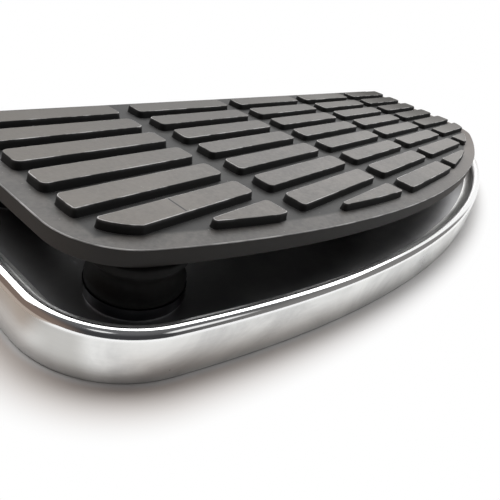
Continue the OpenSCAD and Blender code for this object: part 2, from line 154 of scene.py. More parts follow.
def finish(piece, body, material, stands_for=()):
    """Gives a piece its material and body, and hides the CAD nodes it stands for."""
    piece.data.materials.clear()
    piece.data.materials.append(material)
    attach(piece, body)
    if stands_for:
        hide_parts(*stands_for)
    return piece


def drop(*objects):
    """Removes the lines that a recipe has used up."""
    for thing in objects:
        bpy.data.objects.remove(thing)


# ---------------------------------------------------------------------------
# D outlines of the pan and of the pad
# ---------------------------------------------------------------------------
def arc(centre, radius, start, end, steps):
    """Points along an arc, without its first one."""
    turns = (start + (end - start) * i / steps for i in range(1, steps + 1))
    return [
        (centre[0] + radius * math.cos(turn), centre[1] + radius * math.sin(turn))
        for turn in turns
    ]


class DShape:
    """A D with its curved edge towards -Y, from its half length, the Y of its two
    long edges and the radii of the curved edge and of both pairs of corners."""

    def __init__(self, half, front_y, back_y, arc_r, near_r, far_r):
        self.half, self.front_y = half, front_y
        self.arc_r, self.near_r, self.far_r = arc_r, near_r, far_r
        self.arc_y = front_y + arc_r
        reach = arc_r - near_r
        self.near = (half - near_r, self.arc_y - math.sqrt(reach**2 - (half - near_r) ** 2))
        self.turn = math.atan2(self.near[1] - self.arc_y, self.near[0])
        self.far = (half - far_r, back_y - far_r)

    def points(self, inset=0.0, arc_steps=56, corner_steps=26):
        """The outline, anticlockwise, drawn in by inset."""
        right = [(0.0, self.front_y + inset)]
        right += arc((0, self.arc_y), self.arc_r - inset, -math.pi / 2, self.turn, arc_steps)
        right += arc(self.near, self.near_r - inset, self.turn, 0, corner_steps)
        right += [(self.half - inset, self.far[1])]
        right += arc(self.far, self.far_r - inset, 0, math.pi / 2, corner_steps)
        return right + [(-x, y) for x, y in reversed(right[1:])]


PAN = DShape(
    BOARD_LENGTH / 2, CURVED_Y, STRAIGHT_Y,
    OUTER_ARC_R, OUTER_CORNER_R, INNER_CORNER_R,
)
PAD = DShape(
    BOARD_LENGTH / 2 - PAD_INSET, CURVED_Y + PAD_FRONT_INSET, STRAIGHT_Y - PAD_INSET,
    PAD_ARC_R, PAD_CORNER_R, PAD_FAR_CORNER_R,
)


def stacked_rings(name, shape, steps):
    """A closed solid through rings of a D outline, each step an inset and a height."""
    rings = [[(x, y, z) for x, y in shape.points(inset)] for inset, z in steps]
    around = len(rings[0])
    faces = []
    for low in range(len(rings) - 1):
        here, above = low * around, (low + 1) * around
        for i in range(around):
            j = (i + 1) % around
            faces.append((here + i, here + j, above + j, above + i))
    faces.append(tuple(reversed(range(around))))
    faces.append(tuple(range((len(rings) - 1) * around, len(rings) * around)))
    return mesh_object(name, [p for ring in rings for p in ring], faces)


def turned(name, profile, places, steps=48):
    """A solid of revolution about Z at each place. The profile is radius and height,
    up the outside and back down the inside."""
    points, faces = [], []
    count = len(profile)
    for place in places:
        first = len(points)
        for radius, z in profile:
            for i in range(steps):
                turn = 2 * math.pi * i / steps
                x = place[0] + radius * math.cos(turn)
                y = place[1] + radius * math.sin(turn)
                points.append((x, y, z))
        for k in range(count):
            here, above = first + k * steps, first + (k + 1) % count * steps
            for i in range(steps):
                j = (i + 1) % steps
                faces.append((here + i, here + j, above + j, above + i))
    return mesh_object(name, points, faces)


def isolator_places():
    """Centres of the six isolators, taken from the CAD pieces."""
    places = {}
    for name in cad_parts:
        if name.endswith("_isolator"):
            low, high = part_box(name)
            places[name] = ((low.x + high.x) / 2, (low.y + high.y) / 2)
    return places


# ---------------------------------------------------------------------------
# Node trees, written as formulas
# ---------------------------------------------------------------------------
class Wire:
    """One output socket of a node. Sums on it add Math nodes to its tree."""

    def __init__(self, nodes, socket):
        self.nodes, self.socket = nodes, socket

    def maths(self, operation, *values):
        sockets = dict(enumerate(values))
        return self.nodes.add("ShaderNodeMath", {"operation": operation}, sockets)

    def vectors(self, operation, *values, out=0):
        sockets = dict(enumerate(values))
        return self.nodes.add("ShaderNodeVectorMath", {"operation": operation}, sockets, out)

    def __add__(self, other):
        return self.maths("ADD", self, other)

    def __radd__(self, other):
        return self.maths("ADD", other, self)

    def __sub__(self, other):
        return self.maths("SUBTRACT", self, other)

    def __rsub__(self, other):
        return self.maths("SUBTRACT", other, self)

    def __mul__(self, other):
        return self.maths("MULTIPLY", self, other)

    def __rmul__(self, other):
        return self.maths("MULTIPLY", other, self)

    def most(self, other):
        return self.maths("MAXIMUM", self, other)

    def size(self):
        return self.maths("ABSOLUTE", self)

    def root(self):
        return self.maths("SQRT", self)

    def dot(self, other):
        return self.vectors("DOT_PRODUCT", self, other, out="Value")

    def under(self, other):
        """1 where this is less than other, else 0."""
        return self.maths("LESS_THAN", self, other)

    def step(self, low, high):
        """0 below low, 1 above high, smooth between. With low above high it falls instead."""
        starts, ends = (1.0, 0.0) if low > high else (0.0, 1.0)
        sockets = {
            "Value": self,
            "From Min": min(low, high), "From Max": max(low, high),
            "To Min": starts, "To Max": ends,
        }
        settings = {"interpolation_type": "SMOOTHSTEP"}
        return self.nodes.add("ShaderNodeMapRange", settings, sockets)

    def blend(self, off, on):
        """The colour off where this is 0, and on where it is 1."""
        sockets = {0: self, 6: off, 7: on}
        return self.nodes.add("ShaderNodeMix", {"data_type": "RGBA"}, sockets, out=2)

    def part(self, axis):
        return self.nodes.add("ShaderNodeSeparateXYZ", {}, {0: self}, out="XYZ".index(axis))


class Nodes:
    """A node tree that is filled one call at a time."""

    def __init__(self, tree):
        self.tree = tree

    def add(self, kind, settings, sockets, out=0):
        """Adds a node with its settings. A socket takes a value, a Wire or a list of Wires."""
        made = self.tree.nodes.new(kind)
        for key, value in settings.items():
            setattr(made, key, value)
        for key, value in sockets.items():
            socket = made.inputs[key]
            for one in value if isinstance(value, list) else [value]:
                if isinstance(one, Wire):
                    self.tree.links.new(one.socket, socket)
                elif socket.type == "RGBA":
                    socket.default_value = (*one, 1)
                else:
                    socket.default_value = one
        return Wire(self, made.outputs[out])


class Recipe(Nodes):
    """A Geometry Nodes tree with named inputs. bake() returns a plain mesh object."""

    def __init__(self, name, inputs):
        super().__init__(bpy.data.node_groups.new(name, "GeometryNodeTree"))
        self.values = {}
        sockets = self.tree.interface
        sockets.new_socket("Geometry", in_out="INPUT", socket_type="NodeSocketGeometry")
        for label, (kind, value) in inputs.items():
            made = sockets.new_socket(label, in_out="INPUT", socket_type="NodeSocket" + kind)
            self.values[made.identifier] = value
        sockets.new_socket("Geometry", in_out="OUTPUT", socket_type="NodeSocketGeometry")
        self.start = self.tree.nodes.new("NodeGroupInput")

    def given(self, label):
        return Wire(self, self.start.outputs[label])

    def geometry(self, kind, sockets, settings=None, out=0):
        return self.add("GeometryNode" + kind, settings or {}, sockets, out)

    def vector(self, x, y, z):
        return self.add("ShaderNodeCombineXYZ", {}, {0: x, 1: y, 2: z})

    def boolean(self, operation, sockets):
        settings = {"operation": operation, "solver": "EXACT"}
        return self.geometry("MeshBoolean", sockets, settings)

    def moved(self, geometry, shift):
        return self.geometry("Transform", {"Geometry": geometry, "Translation": shift})

    def placed(self, piece, mesh, size=(1, 1, 1)):
        """Real copies of the piece, scaled by size, at each corner of the mesh."""
        spots = self.geometry("MeshToPoints", {"Mesh": mesh})
        sockets = {"Points": spots, "Instance": piece, "Scale": size}
        copies = self.geometry("InstanceOnPoints", sockets)
        return self.geometry("RealizeInstances", {"Geometry": copies})

    def joined(self, mesh, distance):
        """The same mesh with the corners joined that lie within the distance."""
        return self.geometry("MergeByDistance", {"Geometry": mesh, "Distance": distance})

    def along(self, value, step):
        """A vector field's value so many points further along the same curve."""
        there = self.geometry("OffsetPointInCurve", {"Offset": step}, out="Point Index")
        settings = {"data_type": "FLOAT_VECTOR", "domain": "POINT"}
        return self.geometry("FieldAtIndex", {"Index": there, "Value": value}, settings)

    def at_height(self, geometry, height):
        """The same geometry pressed flat at one height."""
        here = self.geometry("InputPosition", {})
        place = self.vector(here.part("X"), here.part("Y"), height)
        return self.geometry("SetPosition", {"Geometry": geometry, "Position": place})

    def open_edges(self):
        """1 on the edges with one face only, else 0."""
        return self.geometry("InputMeshEdgeNeighbors", {}).under(1.5)

    def lidded(self, mesh, edges, height):
        """Flat faces inside the closed lines that the chosen edges make."""
        lines = self.geometry("MeshToCurve", {"Mesh": mesh, "Selection": edges})
        lids = self.geometry("FillCurve", {"Curve": lines}, {"mode": "NGONS"})
        return self.at_height(lids, height)

    def anticlockwise(self, curve):
        """The same closed curves, each turned to run anticlockwise about Z."""
        here = self.geometry("InputPosition", {})
        ahead = self.along(here, 1)
        swept = here.part("X") * ahead.part("Y") - here.part("Y") * ahead.part("X")
        sockets = {
            "Value": swept,
            "Group ID": self.geometry("CurveOfPoint", {}, out="Curve Index"),
        }
        area = self.geometry("AccumulateField", sockets, {"data_type": "FLOAT"}, out="Total")
        return self.geometry("ReverseCurve", {"Curve": curve, "Selection": area.under(0.0)})

    def corners(self, least_turn):
        """1 at the points where a closed curve turns by more than least_turn, else 0."""
        here = self.geometry("InputPosition", {})
        before = here.vectors("NORMALIZE", here.vectors("SUBTRACT", here, self.along(here, -1)))
        after = here.vectors("NORMALIZE", here.vectors("SUBTRACT", self.along(here, 1), here))
        return before.dot(after).under(math.cos(least_turn))

    def gap(self, step):
        """Distance of a curve's point from the one so many points further along."""
        here = self.geometry("InputPosition", {})
        return here.vectors("DISTANCE", here, self.along(here, step), out="Value")

    def cleared(self, curve, corner, reach):
        """The same curves without the plain points within reach of a corner."""
        crowding = 0.0
        for step in (1, -1):
            near = self.gap(step).under(reach)
            crowding = crowding + near * self.along(corner, step).part("X")
        sockets = {"Geometry": curve, "Selection": (1 - corner) * crowding}
        return self.geometry("DeleteGeometry", sockets, {"domain": "POINT"})

    def roomy(self, reach):
        """1 at the points further than reach from both of their neighbours, else 0."""
        return (1 - self.gap(1).under(reach)) * (1 - self.gap(-1).under(reach))

    def rounded(self, curve, corner, radius, count):
        """The same curves with a fillet at each corner."""
        sockets = {
            "Curve": curve, "Radius": radius * corner,
            "Limit Radius": True, "Count": count,
        }
        return self.geometry("FilletCurve", sockets, {"mode": "POLY"})

    def swept(self, curve, section):
        """A wall that carries the section, X outwards and Y down, round closed
        anticlockwise curves."""
        held = self.geometry("SetCurveNormal", {"Curve": curve}, {"mode": "Z_UP"})
        profile = self.geometry("ObjectInfo", {"Object": section}, out="Geometry")
        return self.geometry("CurveToMesh", {"Curve": held, "Profile Curve": profile})

    def bake(self, name, geometry, source, material):
        """Runs the tree on the source and returns its result as a new object."""
        geometry = self.geometry("RealizeInstances", {"Geometry": geometry})
        geometry = self.geometry("SetMaterial", {"Geometry": geometry, "Material": material})
        end = self.tree.nodes.new("NodeGroupOutput")
        self.tree.links.new(geometry.socket, end.inputs[0])
        grower = source.modifiers.new(self.tree.name, "NODES")
        grower.node_group = self.tree
        for identifier, value in self.values.items():
            grower[identifier] = value
        evaluated = source.evaluated_get(bpy.context.evaluated_depsgraph_get())
        data = bpy.data.meshes.new_from_object(evaluated)
        data.name = name
        source.modifiers.remove(grower)
        return add_object(name, data)


class Paint(Nodes):
    """A material whose nodes are added one call at a time. It knows each spot's place
    and the way the surface faces there, both in the board's own frame."""

    def __init__(self, name):
        self.material = bpy.data.materials.new(name)
        self.material.use_nodes = True
        super().__init__(self.material.node_tree)
        self.tree.nodes.clear()
        self.place = self.add("ShaderNodeTexCoord", {}, {}, out="Object")
        self.facing = Wire(self, self.place.socket.node.outputs["Normal"])
        self.x, self.y, self.z = (self.place.part(axis) for axis in "XYZ")
        self.up = self.facing.part("Z")

    def stretched(self, scale):
        return self.add("ShaderNodeMapping", {}, {"Vector": self.place, "Scale": scale})

    def noise(self, scale, detail=3.0, roughness=0.55, where=None, distortion=0.0):
        sockets = {
            "Vector": where or self.place,
            "Scale": scale,
            "Detail": detail,
            "Roughness": roughness,
            "Distortion": distortion,
        }
        return self.add("ShaderNodeTexNoise", {}, sockets)

    def cells(self, scale):
        return self.add("ShaderNodeTexVoronoi", {}, {"Vector": self.place, "Scale": scale})

    def bump(self, height, distance, strength):
        sockets = {"Height": height, "Distance": distance, "Strength": strength}
        return self.add("ShaderNodeBump", {}, sockets)

    def shade(self, **sockets):
        """Ends the material in a shader. An underline in a socket's name is a space."""
        named = {key.replace("_", " "): value for key, value in sockets.items()}
        surface = self.add("ShaderNodeBsdfPrincipled", {}, named)
        end = self.tree.nodes.new("ShaderNodeOutputMaterial")
        self.tree.links.new(surface.socket, end.inputs["Surface"])
        return self.material


def grey(value, warmth=0.0):
    """A grey whose red goes up and blue goes down by warmth."""
    return (value * (1 + warmth), value, value * (1 - warmth))


# ---------------------------------------------------------------------------
# Finishes
# ---------------------------------------------------------------------------
def tread_border(paint):
    """1 on the mat's bare border, 0 within the line that clips the blocks."""
    line_r = PAD_ARC_R - BLOCK_MARGIN
    line_x = BOARD_LENGTH / 2 - PAD_INSET - BLOCK_MARGIN
    off_y = paint.y - PAD.arc_y
    from_centre = (paint.x * paint.x + off_y * off_y).root()
    outboard = from_centre.step(line_r - MM, line_r + 0.5 * MM)
    ends = paint.x.size().step(line_x - MM, line_x + 0.5 * MM)
    return outboard.most(ends)


def tread_rubber():
    """Black rubber, greyed on top partly by wear and partly as painted light, and darker on the
    blocks' sides as painted shade.
    A pale line of wear and painted highlight runs along its edges; the mat between the blocks
    carries painted shade.
    """
    paint = Paint("tread_rubber")
    drift = paint.noise(16, detail=2)
    mottle = paint.noise(85, detail=6, roughness=0.62)
    nicks = paint.noise(110, detail=5).step(0.42, 0.62)
    fleck = paint.noise(700, detail=2)
    grain = paint.noise(1500, detail=3)
    specks = paint.cells(560).step(0.15, 0.05) * paint.noise(240, detail=1).step(0.56, 0.68)

    # Places on the pad
    top = paint.up.step(0.80, 0.97)
    edge = paint.up.step(0.40, 0.70) * paint.up.step(0.998, 0.97)
    block = paint.z.step(MAT_TOP_Z + 1.1 * MM, MAT_TOP_Z + 2.1 * MM)
    mat_rim = paint.z.step(MAT_TOP_Z + 0.02 * MM, MAT_TOP_Z)
    mat_side = paint.z.step(MAT_TOP_Z - 0.05 * MM, MAT_TOP_Z - 0.5 * MM)
    border = tread_border(paint)
    last_row = paint.y.step(-37.5 * MM, -38.5 * MM)

    # Stretches along the pad where the colour differs
    browner_towards_rear = paint.x.step(-50 * MM, 140 * MM)
    mat_front_painted_light = paint.x.step(-140 * MM, -148 * MM)
    front = paint.x.step(-70 * MM, -150 * MM)
    rear = paint.x.step(70 * MM, 140 * MM)
    rear_inboard = paint.x.step(50 * MM, 130 * MM) * paint.y.step(-65 * MM, 0.0)
    inboard = paint.y.step(-45 * MM, 30 * MM)

    # Sides of the blocks and of the mat. The blocks' sides are painted darker than the mat's
    # side, as painted shade.
    block_side = mottle.blend(grey(0.004), grey(0.010))
    mat_edge = mottle.blend(grey(0.018, 0.03), grey(0.032, 0.05))
    # The mat's side is painted lighter at the front end, as painted light.
    mat_edge = mat_front_painted_light.blend(mat_edge, grey(0.045, 0.05))
    mat_edge = browner_towards_rear.blend(mat_edge, (0.165, 0.135, 0.118))
    side = mat_side.blend(block_side, mat_edge)

    # Top of the mat: darker between the blocks as painted shade, and the dusty border
    gaps_painted_shade = mottle.step(0.32, 0.72).blend(grey(0.016, 0.02), grey(0.036, 0.02))
    dust = (mottle * 0.6 + fleck * 0.4).step(0.35, 0.66)
    dusty = dust.blend(grey(0.042, 0.08), grey(0.086, 0.09))
    dusty = (0.7 * browner_towards_rear).blend(dusty, (0.165, 0.135, 0.115))
    flange = border.blend(gaps_painted_shade, dusty)

    # Tops of the blocks, greyed partly by wear and dust and partly as painted light, with the
    # mould's seam across the last one near the front end
    wear = mottle * 0.4 + drift * 0.35 + fleck * 0.25
    top_wear_and_painted_light = wear.step(0.36, 0.64).blend(grey(0.085, 0.08), grey(0.160, 0.08))
    top_wear_and_painted_light = (0.8 * inboard).blend(top_wear_and_painted_light, (0.054, 0.049, 0.041))
    top_wear_and_painted_light = (0.4 * browner_towards_rear).blend(top_wear_and_painted_light, (0.115, 0.105, 0.090))
    top_wear_and_painted_light = (0.5 * front).blend(top_wear_and_painted_light, (0.112, 0.093, 0.070))
    top_wear_and_painted_light = (0.8 * rear_inboard).blend(top_wear_and_painted_light, (0.030, 0.027, 0.022))
    seam = (paint.x - SEAM_X).size().step(0.34 * MM, 0.16 * MM) * last_row
    top_wear_and_painted_light = seam.blend(top_wear_and_painted_light, grey(0.004))

    # The tops are painted lighter than the sides: partly wear and dust, partly painted light.
    colour = top.blend(side, block.blend(flange, top_wear_and_painted_light))
    # A pale line along the blocks' and the mat's edges: partly wear, partly a painted
    # highlight.
    edge_wear_and_highlight = edge * block * (0.12 + 0.80 * nicks) + edge * mat_rim * (0.25 + 0.35 * nicks)
    colour = edge_wear_and_highlight.blend(colour, grey(0.75, 0.01))
    colour = (specks * top * 0.5).blend(colour, grey(0.36, 0.03))
    dry = 0.10 * paint.y.step(-30 * MM, 35 * MM) + 0.16 * rear + 0.16 * rear_inboard
    dry = dry + 0.3 * (1 - top) + 0.12 * (1 - block) * (1 - border)
    relief = grain * 0.6 + fleck * 0.8 + mottle * 1.4
    return paint.shade(
        Base_Color=colour,
        Roughness=0.38 + 0.16 * mottle + dry,
        Normal=paint.bump(relief, 0.07 * MM, 0.6),
    )


def moulded_rubber():
    """Deep black rubber with a faint bloom."""
    paint = Paint("isolator_rubber")
    mottle = paint.noise(260, detail=4)
    bloom = paint.noise(60, detail=3).step(0.58, 0.8)
    colour = mottle.step(0.35, 0.7).blend(grey(0.004), grey(0.010, 0.02))
    colour = (0.3 * bloom).blend(colour, grey(0.03, 0.02))
    return paint.shade(
        Base_Color=colour,
        Roughness=0.50 + 0.2 * mottle,
        Specular_IOR_Level=0.16,
        Normal=paint.bump(mottle, 0.08 * MM, 0.4),
    )


def polished_alloy():
    """Bright rim over a skirt with a faint haze, small pits and a few dull smears. It is darker
    in clouds towards the rear end and in a patch near the front end, and its inner wall carries
    painted shade towards the rear end.
    """
    paint = Paint("polished_alloy")
    cloud = paint.noise(34, detail=5, roughness=0.62, distortion=0.7)
    smear = paint.noise(11, detail=2)
    hair = paint.noise(420, detail=2, where=paint.stretched((0.25, 0.25, 3.0)))
    pits = paint.cells(330).step(0.11, 0.03) * paint.noise(150, detail=1).step(0.58, 0.68)

    # Places on the wall
    rim = paint.z.step(PAN_HEIGHT - 2.2 * MM, PAN_HEIGHT - 1.5 * MM)
    below_rim = 1 - rim
    off_middle_y = paint.y - (CURVED_Y + STRAIGHT_Y) / 2
    facing_x, facing_y = paint.facing.part("X"), paint.facing.part("Y")
    outwards = paint.x * facing_x + 2.0 * off_middle_y * facing_y
    inside = outwards.step(0.0, -0.03)
    rear_end = paint.x.step(70 * MM, 130 * MM)
    front_end_spot = (paint.x + 153.3 * MM).size().step(4 * MM, MM)

    haze = (cloud * 0.92 + hair * 0.08).step(0.33, 0.68)
    skirt = haze.blend((0.58, 0.58, 0.575), (0.85, 0.85, 0.835))
    colour = rim.blend(skirt, (0.90, 0.90, 0.90))
    # Darker in clouds towards the rear end.
    rear_darkening = paint.x.step(90 * MM, 150 * MM) * cloud.step(0.1, 0.5)
    colour = (0.8 * rear_darkening).blend(colour, (0.56, 0.55, 0.53))
    # The inner wall is painted darker towards the rear end, as painted shade under the pad.
    colour = (0.85 * inside * below_rim * rear_end).blend(colour, (0.22, 0.20, 0.185))
    colour = (0.75 * pits * below_rim).blend(colour, (0.20, 0.185, 0.175))
    # A darker patch on the skirt near the front end.
    front_end_dark_patch = front_end_spot * paint.y.step(-36 * MM, -44 * MM) * cloud.step(0.3, 0.6)
    colour = (0.5 * front_end_dark_patch * below_rim).blend(colour, (0.30, 0.285, 0.26))
    dull = 0.20 + 0.14 * cloud + 0.05 * smear
    bright = 0.07 + 0.06 * hair
    unpolished = inside * (0.22 + 0.15 * rear_end)
    relief = hair * 0.2 + cloud - pits * 1.5
    return paint.shade(
        Base_Color=colour,
        Metallic=1.0,
        Roughness=dull * below_rim + bright * rim + unpolished,
        Normal=paint.bump(relief, 0.04 * MM, 0.3),
    )


def cast_alloy():
    """Satin dish above, and the sandy casting with its ribs below. The dish towards the rear
    end and the raised parts over its floor carry painted shade.
    """
    paint = Paint("cast_alloy")
    sand = paint.noise(900, detail=3)
    stain = paint.noise(40, detail=5, roughness=0.6)
    stained = stain.step(0.3, 0.75)
    dish = paint.z.step(FLOOR_Z - 0.6 * MM, FLOOR_Z - 0.2 * MM)
    raw = 1 - dish
    rear_end = paint.x.step(50 * MM, 120 * MM)
    # The raised parts over the dish floor, away from the straight edge, are painted near black
    # as painted shade under the pad.
    seat = paint.z.step(FLOOR_Z + 0.1 * MM, FLOOR_Z + 0.5 * MM)
    seat = seat * paint.y.step(STRAIGHT_Y - 3 * MM, STRAIGHT_Y - 4 * MM)
    cast = stained.blend((0.40, 0.40, 0.405), (0.58, 0.58, 0.575))
    satin = stained.blend((0.27, 0.27, 0.28), (0.36, 0.36, 0.365))
    # The dish is painted near black towards the rear end, as painted shade under the pad.
    satin = (0.9 * paint.x.step(40 * MM, 110 * MM)).blend(satin, (0.05, 0.046, 0.042))
    colour = dish.blend(cast, satin)
    colour = seat.blend(colour, (0.022, 0.022, 0.025))
    raw_roughness = 0.44 + 0.2 * stain
    dish_roughness = 0.32 + 0.12 * stain + 0.22 * rear_end
    return paint.shade(
        Base_Color=colour,
        Metallic=1.0,
        Roughness=raw_roughness * raw + dish_roughness * dish,
        Normal=paint.bump((sand + stain) * raw + stain * 0.5, 0.08 * MM, 0.4),
    )


def zinc_plate():
    """Zinc plate with a faint blue spangle."""
    paint = Paint("zinc_plate")
    spangle = paint.cells(260).step(0.5, 0.1)
    haze = paint.noise(80, detail=4)
    colour = haze.step(0.3, 0.7).blend((0.56, 0.56, 0.55), (0.72, 0.71, 0.68))
    colour = (0.25 * spangle).blend(colour, (0.66, 0.67, 0.72))
    return paint.shade(
        Base_Color=colour,
        Metallic=1.0,
        Roughness=0.27 + 0.16 * haze,
        Normal=paint.bump(haze, 0.04 * MM, 0.3),
    )


def stoved_black():
    """Black stoving paint over cast steel, with orange peel and chips."""
    paint = Paint("stoved_black_paint")
    peel = paint.noise(420, detail=2)
    sand = paint.noise(110, detail=3)
    chips = paint.cells(150).step(0.17, 0.09) * paint.noise(45, detail=3).step(0.56, 0.68)
    colour = paint.noise(60, detail=3).blend(grey(0.017), grey(0.030))
    colour = chips.blend(colour, (0.42, 0.40, 0.38))
    return paint.shade(
        Base_Color=colour,
        Metallic=chips,
        Roughness=0.30 + 0.12 * peel + 0.1 * chips,
        Normal=paint.bump(peel * 0.6 + sand - chips, 0.09 * MM, 0.45),
    )


def oiled_bronze():
    """Bearing bronze, browned unevenly by oil."""
    paint = Paint("oiled_bronze")
    haze = paint.noise(200, detail=4)
    return paint.shade(
        Base_Color=haze.step(0.3, 0.7).blend((0.45, 0.27, 0.12), (0.66, 0.44, 0.22)),
        Metallic=1.0,
        Roughness=0.3 + 0.15 * haze,
        Normal=paint.bump(haze, 0.04 * MM, 0.3),
    )


def nylon():
    """Natural nylon of the locknuts' inserts."""
    paint = Paint("locking_nylon")
    haze = paint.noise(300, detail=3)
    return paint.shade(
        Base_Color=haze.blend((0.55, 0.56, 0.52), (0.68, 0.68, 0.63)),
        Roughness=0.45 + 0.1 * haze,
        Normal=paint.bump(haze, 0.03 * MM, 0.3),
    )


TREAD_RUBBER = tread_rubber()
MOULDED_RUBBER = moulded_rubber()
POLISHED_ALLOY = polished_alloy()
CAST_ALLOY = cast_alloy()
ZINC_PLATE = zinc_plate()
STOVED_BLACK = stoved_black()
OILED_BRONZE = oiled_bronze()
NYLON = nylon()


# ---------------------------------------------------------------------------
# Pan
# ---------------------------------------------------------------------------
def wall_section(proud=0.1 * MM, foot_r=0.5 * MM):
    """Section of the pan's wall: outwards is X and downwards is Y. It stands a little
    proud of the CAD wall, which it covers."""
    rim_r = WALL_T / 2 + proud
    inner = -WALL_DRAFT - WALL_T - proud
    rim_centre = (-WALL_DRAFT - WALL_T / 2, PAN_HEIGHT - WALL_T / 2)
    fillet_r = FLOOR_FILLET_R - proud
    fillet_centre = (inner - fillet_r, FLOOR_Z + proud + fillet_r)
    inside_floor = FLOOR_Z - FLOOR_T / 2
    points = [(inner + foot_r, 0.0), (proud - foot_r, 0.0)]
    points += arc((proud - foot_r, foot_r), foot_r, -math.pi / 2, 0, steps=5)
    points += arc(rim_centre, rim_r, 0, math.pi, steps=28)
    points += [(inner, fillet_centre[1])]
    points += arc(fillet_centre, fillet_r, 0, -math.pi / 2, steps=10)
    points += [(fillet_centre[0], inside_floor), (inner, inside_floor), (inner, foot_r)]
    return [(x, -z) for x, z in reversed(points)]


def build_pan():
    """The pan's wall, with a notch at each hinge for the bracket's stop toe."""
    notch_depth = 16 * MM
    notch_y = STRAIGHT_Y - 2 * MM
    ring = line_curve("pan_outline", PAN.points(), True)
    section = line_curve("wall_section", wall_section(), True)
    recipe = Recipe(
        "pan_wall_sweep",
        {
            "Section": ("Object", section),
            "Notch size": ("Vector", (TOE_NOTCH_W, notch_depth, TOE_NOTCH_H * 2)),
            "Front notch": ("Vector", (-HINGE_X, notch_y, 0)),
            "Rear notch": ("Vector", (HINGE_X, notch_y, 0)),
        },
    )
    wall = recipe.swept(recipe.given("Geometry"), recipe.given("Section"))
    cutter = recipe.geometry("MeshCube", {"Size": recipe.given("Notch size")})
    notches = [
        recipe.moved(cutter, recipe.given(label)) for label in ("Front notch", "Rear notch")
    ]
    wall = recipe.boolean("DIFFERENCE", {"Mesh 1": wall, "Mesh 2": notches})
    piece = recipe.bake("pan_wall", wall, ring, POLISHED_ALLOY)
    drop(ring, section)
    smooth(piece, degrees=28)
    return finish(piece, "board", POLISHED_ALLOY)


# ---------------------------------------------------------------------------
# Tread pad
# ---------------------------------------------------------------------------
def build_mat():
    """The mat with round edges, and a recess in its underside for the plate."""
    top_r, foot_r, hold = 0.45 * MM, 0.3 * MM, 0.25 * MM
    recess = LIP_W - 0.2 * MM
    recess_z = PLATE_Z + PLATE_T + 0.02 * MM
    quarter = [math.radians(22.5 * i) for i in range(5)]
    steps = [(recess, recess_z), (recess, PLATE_Z)]
    for turn in quarter:
        inset, rise = foot_r * (1 - math.sin(turn)), foot_r * (1 - math.cos(turn))
        steps.append((inset, PLATE_Z + rise))
    steps += [(0, PLATE_Z + foot_r + hold), (0, MAT_TOP_Z - top_r - hold)]
    for turn in quarter:
        inset, fall = top_r * (1 - math.cos(turn)), top_r * (1 - math.sin(turn))
        steps.append((inset, MAT_TOP_Z - fall))
    steps += [(top_r + hold, MAT_TOP_Z)]
    piece = stacked_rings("tread_mat", PAD, steps)
    smooth(piece, degrees=50)
    return finish(piece, "pad", TREAD_RUBBER, ["tread_pad"])


def block_section():
    """Side of a tread block from its top to its foot: outwards is X and downwards is Y."""
    draft, top_r, foot_r, hold = 0.35 * MM, 0.28 * MM, 0.25 * MM, 0.1 * MM
    top = MAT_TOP_Z + BLOCK_H
    points = [(foot_r, MAT_TOP_Z - BLOCK_SUNK)]
    for turn in (0.3, 0.8, 1.3):
        out, rise = foot_r * (1 - math.sin(turn)), foot_r * (1 - math.cos(turn))
        points.append((out, MAT_TOP_Z + rise))
    points += [(hold - draft, top - top_r - hold), (-draft, top - top_r)]
    points += arc((-draft - top_r, top - top_r), top_r, 0, math.pi / 2, steps=4)
    points += [(-draft - top_r - hold, top)]
    return [(x, -z) for x, z in reversed(points)]


def block_recipe(section):
    """The tread blocks' recipe with its named inputs, worked out from the mat."""
    mat_length = BOARD_LENGTH - 2 * PAD_INSET
    column_gaps = (TREAD_COLUMNS - 1) * COLUMN_GAP
    block_length = (mat_length - 2 * BLOCK_MARGIN - column_gaps) / TREAD_COLUMNS
    block_width = ROW_PITCH - ROW_GAP
    grid_length = (TREAD_COLUMNS - 1) * (block_length + COLUMN_GAP)
    grid_depth = (TREAD_ROWS - 1) * ROW_PITCH
    first_y = STRAIGHT_Y - PAD_INSET - FIRST_ROW_MARGIN - block_width / 2
    return Recipe(
        "tread_blocks_grid",
        {
            "Side section": ("Object", section),
            "Columns": ("Int", TREAD_COLUMNS),
            "Rows": ("Int", TREAD_ROWS),
            "Grid length": ("Float", grid_length),
            "Grid depth": ("Float", grid_depth),
            "Grid middle": ("Vector", (0, first_y - grid_depth / 2, 0)),
            "First row": ("Vector", (0, first_y, 0)),
            "Row step": ("Vector", (0, -ROW_PITCH, 0)),
            "Block length": ("Float", block_length),
            "Block width": ("Float", block_width),
            "Corner radius": ("Float", BLOCK_CORNER_R),
            "Corner steps": ("Int", 6),
            "Tail width": ("Float", TAIL_W),
            "Curve centre Y": ("Float", PAD.arc_y),
            "Curve radius": ("Float", PAD_ARC_R - BLOCK_MARGIN),
            "Border foot": ("Vector", (0, 0, -4 * MM)),
            "Border top": ("Vector", (0, 0, 4 * MM)),
            "Slab height": ("Float", 4 * MM),
            "Top height": ("Float", MAT_TOP_Z + BLOCK_H),
            "Foot height": ("Float", MAT_TOP_Z - BLOCK_SUNK),
            "Row height": ("Float", 6 * MM),
            "Clear of corners": ("Float", 1.6 * MM),
            "Extra radius of square ends": ("Float", SQUARE_END_EXTRA_R),
            "Least side of square ends": ("Float", 5 * MM),
            "Joining distance": ("Float", 0.01 * MM),
        },
    )


def plain_slabs(recipe):
    """A plain slab at each spot of the grid."""
    given = recipe.given
    size = recipe.vector(given("Block length"), given("Block width"), given("Slab height"))
    slab = recipe.geometry("MeshCube", {"Size": size})
    sockets = {
        "Size X": given("Grid length"), "Size Y": given("Grid depth"),
        "Vertices X": given("Columns"), "Vertices Y": given("Rows"),
    }
    grid = recipe.moved(recipe.geometry("MeshGrid", sockets), given("Grid middle"))
    return recipe.placed(slab, grid)


